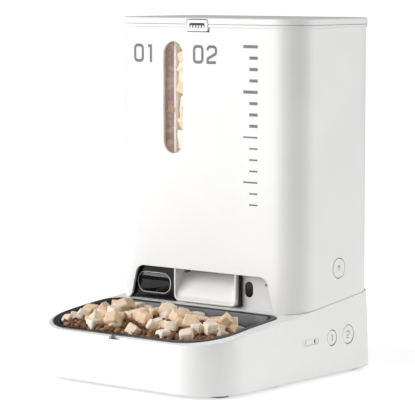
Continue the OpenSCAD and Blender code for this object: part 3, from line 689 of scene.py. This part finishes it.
def lid():
    r_top, over = 1.7, -1.4
    rings = [ring(TOWER, TOTAL_H - 2.2, 1.0), ring(TOWER, LID_Z, 1.0), ring(TOWER, LID_Z, over + 0.35),
             ring(TOWER, LID_Z + 0.35, over), ring(TOWER, LID_Z + 2.2, over)]
    rings += [ring(TOWER, TOTAL_H - r_top + r_top * s - 0.12, over + r_top * (1 - c)) for c, s in arc_steps(6)]
    # a faint crown, so that the flat top still catches the light
    rings += [ring(TOWER, TOTAL_H - 0.03, 10), ring(TOWER, TOTAL_H, 20)]
    cover = loft("lid_cover_moulding", rings, WHITE, cap_start=True, cap_end=True)
    block = prism_along("block", rect(LATCH_X - 17, LATCH_X + 17, LID_Z, TOTAL_H - 1.5), "y", -2, 12)
    knuckles = [prism_along("knuckle", hinge_profile(LID_Z + 1, 1.2), "x", s * HINGE["x"] - 6, s * HINGE["x"] + 6)
                for s in (-1, 1)]
    cut(cover, [block] + knuckles, "UNION")
    pocket = prism_along("pocket", rect(*LATCH_NOTCH, 310, TOTAL_H - 1.25, [0, 0, 3.0, 3.0]), "y", -6, 2)
    passage = prism_along("passage", rect(LATCH_X - 7, LATCH_X + 7, 310, TOTAL_H - 2.4), "y", 1, 10.9)
    cut(cover, [pocket, passage])
    soften(cover)
    even_out(cover)
    settle(cover, "lid", "lid_cover")


def latch():
    """Rounded push plate with a dark slot of grip ribs; stem and hook behind it."""
    def flat(name, half, z0, z1, r, y0, y1, material=None):
        """An upright plate centred on the latch, from y0 back to y1."""
        return prism_along(name, rect(LATCH_X - half, LATCH_X + half, z0, z1, r), "y", y0, y1, material)

    plate = flat("latch_plate", 12.4, 314.5, TOTAL_H - 2.0, 2.6, -3.9, -1.2)
    cut(plate, [flat("slot", 9, 317.6, 322.1, 1.2, -5, -2.5)])
    round_edges(plate, 0.3)
    ribs = []
    for i in range(-2, 3):
        x, z0, z1 = LATCH_X + 3.4 * i, 317.7, 320.1
        tooth = rounded_outline([(x - 1.1, z0), (x + 1.1, z0), (x + 0.8, z1), (x - 0.8, z1)], [0.1, 0.1, 0.4, 0.4], 4)
        ribs.append(prism_along(f"latch_rib_{i + 3}", tooth, "y", -3.7, -2.4))
    hook = prism_along("latch_hook", [(-1.3, 322), (5.4, 322), (5.4, 314.4), (3.1, 314.4), (3.9, 311.4), (7.4, 311.4),
                                      (7.4, 324.2), (-1.3, 324.2)], "x", LATCH_X - 6, LATCH_X + 6)
    round_edges(hook, 0.3)
    recess = flat("latch_recess", 8.9, 317.7, 322, 1.1, -2.62, -2.48, JACK_BLACK)
    # Dark plate behind the push plate: painted shade in the gap round it, which is open to the white pocket.
    shade_plate = flat("latch_painted_shade_plate", 13.0, 313.9, TOTAL_H - 1.5, 3.0, -1.15, -0.7, JACK_BLACK)
    for rib in ribs:
        round_edges(rib, 0.2)
    for piece in [plate, hook, recess, shade_plate] + ribs:
        settle(piece, "latch")
    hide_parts("latch")


def window():
    """Clear insert with a domed edge, flush in the front of the tower."""
    profile = [(6.9, 2.05), (6.9, 0.55), (-0.1, 0.55), (-0.1, -1.6), (-0.6, -1.95), (-1.3, -2.0)]
    lens = loft("level_window", pill_rings(WINDOW, profile, 32), CLEAR, cap_start=True, cap_end=True)
    settle(lens, "hopper", "window_lens", smooth=32)


# ---- under the arch

def scoop_outline(w, base, r, top=100.0):
    """U shape in x, z: down the left cheek, along the ramp and up the right cheek."""
    shoulder = top - (top - base - r) * 0.5
    turn = [math.pi / 2 * k / 8 for k in range(9)]
    points = [(-w, top), (-w, shoulder), (-w, base + r)]
    points += [(-w + r - r * math.cos(a), base + r - r * math.sin(a)) for a in turn[1:]]
    points += [(-w + r + (2 * w - 2 * r) * k / 12, base) for k in range(1, 12)]
    points += [(w - r + r * math.sin(a), base + r - r * math.cos(a)) for a in turn]
    return points + [(w, shoulder), (w, top)]


def chute():
    """Scoop-shaped outlet: a U-shaped rim round a ramp that curves up and back between two cheeks."""
    half, foot, corner, back, lip = 35.0, CHUTE_FOOT + 2.2, 4.5, 27.0, 0.8
    ramp_top, steps = 94.0, 18
    rows = []
    for k in range(steps, -1, -1):
        t = k / steps
        rows.append((CHUTE_FRONT + lip + (back - CHUTE_FRONT - lip) * t, half - 2 * t,
                     foot + (ramp_top - foot) * (t ** 0.72), corner + 9 * t ** 0.5))
    for c, s in arc_steps(3)[1:]:
        grow = lip * (1 - c)
        rows.append((CHUTE_FRONT + lip * (1 - s), half + grow, foot - grow, corner + grow))
    for c, s in arc_steps(3)[1:]:
        rows.append((CHUTE_FRONT + lip * (1 - c), CHUTE_HALF - lip + lip * s, CHUTE_FOOT + lip - lip * s,
                     5.2 + lip * s))
    rows += [(CHUTE_FRONT + lip + 7.2 * k / 3, CHUTE_HALF, CHUTE_FOOT, 6.0) for k in range(1, 4)]
    rows += [(9 + 20 * t, half + 2 - 2 * t, CHUTE_FOOT + 28 * t, 6.0) for t in (0.5, 1.0)]
    points = [(x, y, z) for y, w, base, r in rows for x, z in scoop_outline(w, base, r)]
    count = len(points) // len(rows)
    faces = [(k * count + i, k * count + i + 1, (k + 1) * count + i + 1, (k + 1) * count + i)
             for k in range(len(rows) - 1) for i in range(count - 1)]
    scoop = mesh_piece("chute_scoop", points, faces, WHITE)
    outward(scoop)
    settle(scoop, "base", "chute", smooth=60)

    throat, throat_out = (-33, 33, 12.5, 27), (-35, 35, 10.5, 29)
    mouth, mouth_out = (-68, 20, 16, 42), (-70, 22, 14, 44)
    low, neck, high = 94, 96, 112
    levels = ((low, throat), (neck, throat), (high, mouth), (high, mouth_out), (neck, throat_out), (low, throat_out))
    rings = [[(x, y, z) for x, y in rect(*outline, 4.0, 6)] for z, outline in levels]
    funnel = loft("chute_funnel", rings, WHITE_PP, close=True)
    settle(funnel, "base", smooth=40)
    settle(prism_along("chute_brow", rect(-35, 35, 94.6, 99, 0.6, 3), "y", 2.2, 5.0), "base")
    # Dark strip along the chute's right cheek: painted shade of the gap between the chute and the housing beside it.
    shade_strip = prism_along("chute_gap_painted_shade", rect(CHUTE_HALF + 0.1, CHUTE_HALF + 1.5, 63.6, 98), "y", 4.6, 8.95,
                       JACK_BLACK)
    round_edges(shade_strip, 0.3)
    settle(shade_strip, "base")
    eye = prism_along("outlet_sensor", circle_outline(-23.5, 92.2, 2.1, 32), "y", 2.0, 6.5, CAMERA_BLACK)
    round_edges(eye, 0.4)
    settle(eye, "base")


def camera_panel():
    """Piano-black surround with a dished pill opening, ring, smoked window and the lens behind it."""
    surround = prism_along("camera_surround", rect(-91.4, -37.8, 62.2, 97.5, 2, 4), "y", 3.0, 9.0, BLACK_GLOSS)
    cut(surround, [prism_along("hole", pill_outline(CAMERA_PILL["x"], CAMERA_PILL["z"], 41.4, 19.8), "y", 0, 8.0)])
    round_edges(surround, 0.7, segments=3)
    settle(surround, "base", "camera_panel")
    profile = [(1.9, 4.4), (1.9, 3.0), (1.5, 2.72), (1.0, 2.72), (0.6, 3.0), (0.6, 4.4)]
    trim = loft("camera_trim_ring", pill_rings(CAMERA_PILL, profile), RING_METAL, close=True)
    settle(trim, "base", "camera_ring", smooth=50)
    profile = [(0.2, 5.0), (0.2, 3.5), (-0.4, 3.15), (-2.0, 3.0)]
    glass = loft("camera_glass", pill_rings(CAMERA_PILL, profile), SMOKED, cap_start=True, cap_end=True)
    settle(glass, "base", "camera_window", smooth=32)

    def turned(profile):
        """Rings round the lens's axis, one for each (radius, y)."""
        return [[(x, y, z) for x, z in circle_outline(LENS_X, CAMERA_PILL["z"], r, 48)] for r, y in profile]

    lens_ring = loft("camera_lens_ring", turned([(4.1, 5.55), (4.1, 5.25), (4.9, 5.1), (4.9, 5.3)]), RING_METAL,
                     close=True)
    settle(lens_ring, "base", smooth=32)
    profile = [(0.05, 6.1), (2.2, 5.8), (3.4, 5.9), (3.9, 5.6), (4.6, 5.3), (6.2, 5.3), (6.5, 5.6), (6.5, 9.0)]
    barrel = loft("camera_lens_barrel", turned(profile), CAMERA_BLACK, cap_start=True, cap_end=True)
    settle(barrel, "base", smooth=40)


# ---- buttons and prints

def spun(profile, y, z, sign=1, steps=64):
    """Rings round a line along x through (y, z), one for each (radius, x)."""
    return [[(sign * x, v, w) for v, w in circle_outline(y, z, r, steps)] for r, x in profile]


def round_cap(name, y, z, r, x0, x1, sign, body, node):
    """Button cap with a rounded edge and a shallow dish."""
    edge, dish = 0.6, 0.25
    profile = [(r, x0), (r, x1 - edge)]
    profile += [(r - edge * (1 - c), x1 - edge * (1 - s)) for c, s in arc_steps(4)[1:]]
    profile += [(r * 0.75, x1 - dish * 0.4), (r * 0.45, x1 - dish * 0.8), (r * 0.15, x1 - dish)]
    cap = loft(name, spun(profile, y, z, sign), WHITE, cap_start=True, cap_end=True)
    settle(cap, body, node, smooth=40)


def painted_shade_ring(name, y, z, r, x, sign, body, gap=-0.04):
    """Dark seal ring in the gap round a cap, a little below the surface, with room for the cap to tilt; its black
    paints the shade deep in the gap.
    """
    outer, deep = r + 0.65, x - 1.2
    profile = [(r + gap, deep), (r + gap, x), (outer, x), (outer, deep)]
    piece = loft(name, spun(profile, y, z, sign), JACK_BLACK, close=True)
    settle(piece, body, smooth=32)


def ribbon(name, strokes, width, place, body, thickness=0.06):
    """Flat printed strokes; place turns (u, v, height) into a 3-D point."""
    points, faces = [], []
    for stroke, closed in strokes:
        count = len(stroke)
        base = len(points)
        for i, p in enumerate(stroke):
            before = stroke[i - 1] if (i > 0 or closed) else None
            after = stroke[(i + 1) % count] if (i < count - 1 or closed) else None
            d1 = (Vector(p) - Vector(before)).normalized() if before is not None else None
            d2 = (Vector(after) - Vector(p)).normalized() if after is not None else None
            d = (d1 + d2).normalized() if d1 is not None and d2 is not None else (d1 or d2)
            side = Vector((-d.y, d.x))
            stretch = 1.0
            if d1 is not None and d2 is not None:
                stretch = 1 / max(side.dot(Vector((-d1.y, d1.x))), 0.5)
            left = Vector(p) + side * width / 2 * stretch
            right = Vector(p) - side * width / 2 * stretch
            for height in (0.0, thickness):
                points += [place(left.x, left.y, height), place(right.x, right.y, height)]
        for i in range(count if closed else count - 1):
            a, b = base + 4 * i, base + 4 * ((i + 1) % count)
            faces += [(a + 2, a + 3, b + 3, b + 2), (a, b, b + 1, a + 1), (a, a + 2, b + 2, b),
                      (a + 1, b + 1, b + 3, a + 3)]
        if not closed:
            last = base + 4 * (count - 1)
            faces += [(base, base + 1, base + 3, base + 2), (last, last + 2, last + 3, last + 1)]
    piece = mesh_piece(name, points, faces, INK)
    outward(piece)
    settle(piece, body)


def numeral(digit, u, v, w, h, r):
    """Strokes of a rounded numeral with its lower left corner at (u, v)."""
    if digit == "0":
        return [(rect(u, u + w, v, v + h, r, 6), True)]
    if digit == "1":
        return [([(u + w * 0.1, v + h * 0.97), (u + w * 0.75, v + h * 0.97), (u + w * 0.75, v - h * 0.09)], False)]
    shape = rounded_outline([(u, v + h * 0.76), (u, v + h), (u + w, v + h), (u + w, v + h * 0.56),
                             (u, v + h * 0.24), (u, v), (u + w, v)], [0, r, r, r * 0.8, r * 0.6, 0, 0], 6)
    return [(shape, False)]


def prints():
    """Grey hopper numbers and a measuring scale on the front."""
    def front(u, v, height):
        return (u, TOWER["front"] - 0.02 - height, v)

    stroke, foot, tall, corner = 2.7, 286.3, 14.4, 3.0
    ribbon("print_hopper_01", numeral("0", -81.4, foot, 9.4, tall, corner)
           + numeral("1", -66.2, foot, 5.6, tall, corner), stroke, front, "hopper")
    ribbon("print_hopper_02", numeral("0", -9.8, foot, 9.8, tall, corner)
           + numeral("2", 6.2, foot, 9.8, tall, corner), stroke, front, "hopper")
    right, top, pitch = 64.2, 301.6, 10.2
    for name, first, last, width in (("upper", 0, 8, 2.8), ("lower", 8, 15, 1.5)):
        ticks = []
        for i in range(first, last):
            z, length = top - i * pitch, 16.4 if i % 4 == 0 else 9.5
            ticks.append(([(right - length, z), (right, z)], False))
        ribbon(f"print_scale_{name}", ticks, width, front, "hopper")


def side_x(z):
    """Where the base's +X wall is at that height."""
    return BASE["half"] - z * LEAN


def feed_buttons():
    for label, (y, z, r) in FEED_BUTTONS.items():
        top, body = side_x(z) + 0.15, f"button_{label}"
        round_cap(f"feed_button_cap_{label}", y, z, r - 0.05, 106.0, top, 1, body, f"feed_button_{label}")
        # Dark ring round the cap: painted shade of the gap.
        painted_shade_ring(f"feed_button_painted_shade_ring_{label}", y, z, r, top - 0.9, 1, "base")
        post = loft(f"feed_button_stem_{label}", spun([(2, 98.6), (2, 106.2)], y, z, 1, 24), WHITE, True, True)
        soften(post)
        settle(post, body)
        h = r * 0.8
        w = h * 0.55

        def on_cap(u, v, height, x=top - 0.12):
            return (x + height, u, v)
        digit = numeral(label, y - w / 2, z - h / 2, w, h, w * 0.38)
        ribbon(f"print_button_{label}", digit, 0.55, on_cap, body, 0.05)


def release_caps():
    """The two round caps, each on a pivoted arm whose hook holds the hopper unit down."""
    arrow = [([(-2.6, 0.2), (0, 2.8), (2.6, 0.2)], False), ([(0, 2.6), (0, -2.6)], False)]
    y, z, r = RELEASE["y"], RELEASE["z"], RELEASE["r"]
    for s, side in ((1, "right"), (-1, "left")):
        body = f"lever_{side}"
        round_cap(f"release_cap_{side}", y, z, r - 0.05, 104.0, 109.25, s, body, f"release_lever_{side}")
        # Dark ring round the cap: painted shade of the gap.
        painted_shade_ring(f"release_painted_shade_ring_{side}", y, z, r, 108.3, s, "hopper", 0.46)
        arm = prism_along(f"release_arm_{side}", rect(y - 6, y + 6, 70.5, 105, 3), "x",
                          *sorted((s * 102.2, s * 104.2)))
        hook = prism_along(f"release_hook_{side}", rect(y - 4, y + 4, 70, 73, 0.5), "x",
                           *sorted((s * 99.1, s * 102.4)))
        for piece in (arm, hook):
            round_edges(piece, 0.3)
            settle(piece, body)

        def on_release(u, v, height, s=s):
            return (s * (109.08 + height), y + s * u, z + v)
        ribbon(f"print_release_{side}", arrow, 0.5, on_release, body, 0.05)


def indicator():
    """Pale light strip in the base's side, with its two marks."""
    x = side_x(INDICATOR["z"])
    rings = []
    for grow, dx in ((0.0, -3.0), (0.0, -0.35), (-0.5, -0.08), (-1.4, 0.0)):
        rings.append([(x + dx, y, z) for y, z in
                      pill_outline(INDICATOR["y"], INDICATOR["z"], INDICATOR["w"] + grow, INDICATOR["h"] + grow)])
    lens = loft("indicator_strip", rings, WHITE_PP, True, True)
    settle(lens, "base", "indicator_lens", smooth=45)

    def on_side(u, v, height):
        return (x + 0.01 + height, u, v)
    ribbon("print_indicator", [([(9.6, 35.3), (9.6, 38.2)], False)], 0.6, on_side, "base", 0.05)
    half_disc = [(24.2 + 1.9 * math.cos(a), INDICATOR["z"] + 2.1 * math.sin(a)) for a in
                 [math.radians(90 + 180 * i / 16) for i in range(17)]]
    settle(prism_along("indicator_light", half_disc, "x", x - 0.4, x + 0.05, CAMERA_BLACK), "base")


# ---- food, for the picture only

def lump_mesh(kind, seed):
    """One kibble or one cube, about 1 mm across, as bare points and faces."""
    rng = random.Random(seed)
    edit = bmesh.new()
    if kind == "kibble":
        bmesh.ops.create_icosphere(edit, subdivisions=2, radius=0.5)
        for v in edit.verts:
            wobble = noise.noise(v.co * 3.2 + Vector((seed * 7.1, 0, 0)))
            fine = noise.noise(v.co * 8.0 + Vector((seed * 3.7, 2.0, 0)))
            v.co *= 1 + 0.45 * wobble + 0.2 * fine
            v.co.z *= 0.75
    else:
        bmesh.ops.create_cube(edit, size=1.0)
        bmesh.ops.subdivide_edges(edit, edges=edit.edges[:], cuts=5, use_grid_fill=True)
        stretch = Vector((rng.uniform(0.85, 1.1), rng.uniform(0.8, 1.05), rng.uniform(0.7, 1.0)))
        for v in edit.verts:
            box = Vector([max(-0.44, min(0.44, c)) for c in v.co])
            v.co = box + (v.co - box).normalized() * 0.06 if (v.co - box).length > 1e-6 else v.co
            wobble = noise.noise(v.co * 2.6 + Vector((seed * 5.3, 1.7, 0)))
            fine = noise.noise(v.co * 9.0 + Vector((seed * 2.3, 4.0, 0)))
            v.co *= 1 + 0.10 * wobble + 0.035 * fine
            v.co = Vector([a * b for a, b in zip(v.co, stretch)])
    points = [v.co.copy() for v in edit.verts]
    faces = [[v.index for v in f.verts] for f in edit.faces]
    edit.free()
    return points, faces


LUMPS = {kind: [lump_mesh(kind, s) for s in range(7)] for kind in ("kibble", "cube")}


def heap(name, kind, spots, material, body):
    """Joins lumps at (position, size, turn) into one staged piece."""
    rng = random.Random(len(spots))
    points, faces, tones = [], [], []
    for i, (where, size, turn) in enumerate(spots):
        source, source_faces = LUMPS[kind][i % len(LUMPS[kind])]
        base = len(points)
        points += [tuple(Vector(where) + turn @ (p * size)) for p in source]
        faces += [[base + v for v in f] for f in source_faces]
        tones += [rng.random()] * len(source)
    piece = mesh_piece(name, points, faces, material)
    piece.data.attributes.new("tone", "FLOAT", "POINT").data.foreach_set("value", tones)
    for face in piece.data.polygons:
        face.use_smooth = True
    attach(piece, body)


def any_turn(rng, tilt):
    axis = Vector((rng.gauss(0, 1), rng.gauss(0, 1), rng.gauss(0, 1))).normalized()
    spin = Matrix.Rotation(rng.uniform(0, math.tau), 3, "Z")
    return Matrix.Rotation(rng.uniform(-tilt, tilt), 3, axis) @ spin


class Pile:
    """A height field in mm that lumps are dropped on one after another."""

    def __init__(self, x0, x1, y0, y1, start, step=1.5):
        nx, ny = int((x1 - x0) / step) + 1, int((y1 - y0) / step) + 1
        self.x = x0 + step * np.arange(nx)[:, None] + np.zeros((1, ny))
        self.y = y0 + step * np.arange(ny)[None, :] + np.zeros((nx, 1))
        self.h = np.vectorize(start)(self.x, self.y).astype(float)

    def drop(self, x, y, size, sink):
        """Lands a lump of that size and returns the height of its middle."""
        r = size / 2
        near = (self.x - x) ** 2 + (self.y - y) ** 2
        z = float(np.percentile(self.h[near <= (0.75 * r) ** 2], 80)) + r * sink
        inside = near < r * r
        cap = z + 0.8 * np.sqrt(np.maximum(r * r - near, 0))
        self.h = np.where(inside, np.maximum(self.h, cap), self.h)
        return z


def food_top(x, y):
    """Top of the kibble in the bowl: fuller at the left and the front, open at the back right."""
    mound = 46.3 + 8.5 * math.exp(-(((x + 12) / 88) ** 2 + ((y + 52) / 34) ** 2))
    mound -= 24.0 / (1 + math.exp(-(x - 97 + 1.2 * (y + 60)) / 5.0))
    mound -= 9.0 / (1 + math.exp(-(y + 15) / 4.0))
    return mound


def in_bowl(x, y, margin):
    """Whether a spot is that far inside the bowl's rounded plan."""
    x -= BOWL["cx"]
    half, front, rear = BOWL["half"] - 7 - margin, BOWL["front"] + 7 + margin, BOWL["rear"] - 8 - margin
    if abs(x) > half or y < front or y > rear:
        return False
    r = 34
    dx, dy = abs(x) - (half - r), (front + r) - y
    return not (dx > 0 and dy > 0 and dx * dx + dy * dy > r * r)


def food_in_bowl():
    rng = random.Random(11)
    kibble, cubes = [], []
    for _ in range(3600):
        x, y, size = rng.uniform(-106, 98), rng.uniform(-112, -10), rng.uniform(4.5, 8.0)
        sunk = max(0.0, 44 - food_top(x, y))
        if in_bowl(x, y, size * 0.4 + 0.6 * sunk):
            kibble.append(((x, y, food_top(x, y) + rng.uniform(-2.5, 2.5)), size, any_turn(rng, math.pi)))
    pile = Pile(-100, 100, -112, -8, lambda x, y: food_top(x, y) + 1.5)
    for _ in range(104):
        x, y, size = rng.uniform(-104, 96), rng.uniform(-108, -24), rng.uniform(9.0, 13.5)
        if not in_bowl(x, y, size * 0.5) or x - 94 + 1.2 * (y + 60) > 0:
            continue
        z = pile.drop(x, y, size, 0.3)
        if z < food_top(x, y) + 13:
            cubes.append(((x, y, z), size, any_turn(rng, 1.0)))
    heap("food_kibble_bowl", "kibble", kibble, KIBBLE, "bowl")
    heap("food_cubes_bowl", "cube", cubes, CUBE, "bowl")
    rim = plan(**BOWL, inset=20)
    middle = -60
    rings = []
    for t in (1.0, 0.8, 0.6, 0.4, 0.2):
        spots = [(x * t, middle + (y + 60) * t, deck(y)) for x, y in rim]
        rings.append([(x, y, min(food_top(x, y), level + 3) - 3.0) for x, y, level in spots])
    bed = loft("food_bed_bowl", rings, KIBBLE, cap_end=True)
    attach(bed, "bowl")


def against_window(rng, depths, side, reach, foot, jitter, sizes, tilt, across, up):
    """Lumps packed behind the window, from the divider outwards to one side of it."""
    spots = []
    for y in depths:
        z = foot
        while z < WINDOW_FOOD_TOP:
            x = reach[0]
            while x < reach[1]:
                shift = [rng.uniform(-j, j) for j in jitter]
                where = (DIVIDER_X + side * x + shift[0], y + shift[1], z + shift[2])
                spots.append((where, rng.uniform(*sizes), any_turn(rng, tilt)))
                x += rng.uniform(*across)
            z += rng.uniform(*up)
    return spots


def food_in_window():
    rng = random.Random(5)
    kibble = against_window(rng, (7.0, 13.5, 20.0), -1, (5.5, 22), 190.0, (1, 1.2, 1.5), (8.5, 11.0), math.pi,
                            (6.0, 7.5), (5.5, 7.0))
    cubes = against_window(rng, (11.0, 23.0), 1, (8.5, 34), 188.0, (1.5, 1.5, 2), (10.5, 13.5), 0.8,
                           (10, 12.5), (9.0, 11.5))
    heap("food_kibble_hopper", "kibble", kibble, KIBBLE_PAINTED_LIT, "hopper")
    heap("food_cubes_hopper", "cube", cubes, CUBE_PAINTED_LIT, "hopper")


# ---- studio

def aimed(name, data, aim, azimuth, elevation, distance):
    """Puts a light or a camera that far from its aim; azimuth 0 is in front of the bowl, 90 on the button side."""
    a, e = math.radians(azimuth), math.radians(elevation)
    away = Vector((math.cos(e) * math.sin(a), -math.cos(e) * math.cos(a), math.sin(e)))
    thing = bpy.data.objects.new(name, data)
    thing.location = Vector(aim) + distance * away
    thing.rotation_euler = (Vector(aim) - thing.location).to_track_quat("-Z", "Y").to_euler()
    bpy.context.scene.collection.objects.link(thing)
    return thing


def studio():
    reach = 900
    floor = mesh_piece("studio_floor", [(reach * math.cos(math.tau * i / 96), reach * math.sin(math.tau * i / 96), 0)
                                        for i in range(96)], [tuple(range(96))], studio_white())
    world = bpy.data.worlds.new("studio")
    world.use_nodes = True
    bpy.context.scene.world = world
    tree = world.node_tree
    tree.nodes.clear()
    path = add(tree, "ShaderNodeLightPath")
    glow = add(tree, "ShaderNodeBackground", Color=(1, 1, 1, 1), Strength=0.2)
    seen = add(tree, "ShaderNodeBackground", Color=(1, 1, 1, 1), Strength=1.05)
    mix = add(tree, "ShaderNodeMixShader", {0: path.outputs["Is Camera Ray"], 1: glow.outputs[0], 2: seen.outputs[0]})
    add(tree, "ShaderNodeOutputWorld", {"Surface": mix.outputs[0]})

    for name, azimuth, elevation, distance, width, height, power in (
            ("key_front_left", -38, 20, 2.6, 2.4, 2.2, 70),
            ("fill_right_rear", 124, 18, 2.8, 2.0, 2.0, 43),
            ("top", 0, 89.9, 2.6, 2.0, 2.0, 4)):
        light = bpy.data.lights.new(name, "AREA")
        light.shape = "RECTANGLE"
        light.size, light.size_y = width, height
        light.energy = power
        aimed(name, light, (0, 0, 0.16), azimuth, elevation, distance)


def camera():
    """Three-quarter view from the button side, a long lens a little above the tower's middle."""
    view = bpy.data.cameras.new("view")
    view.lens = 196.0
    view.sensor_width = 36.0
    view.clip_start, view.clip_end = 0.05, 100
    bpy.context.scene.camera = aimed("view", view, (0.0044, 0, 0.1531), 39.33, 5.81, 2.0767)


camera()
studio()
bpy.context.scene.view_settings.view_transform = "Standard"
dress_cad_nodes()
base_shell()
bowl()
tower_shell()
collar()
lid()
latch()
window()
chute()
camera_panel()
feed_buttons()
release_caps()
indicator()
prints()
food_in_bowl()
food_in_window()
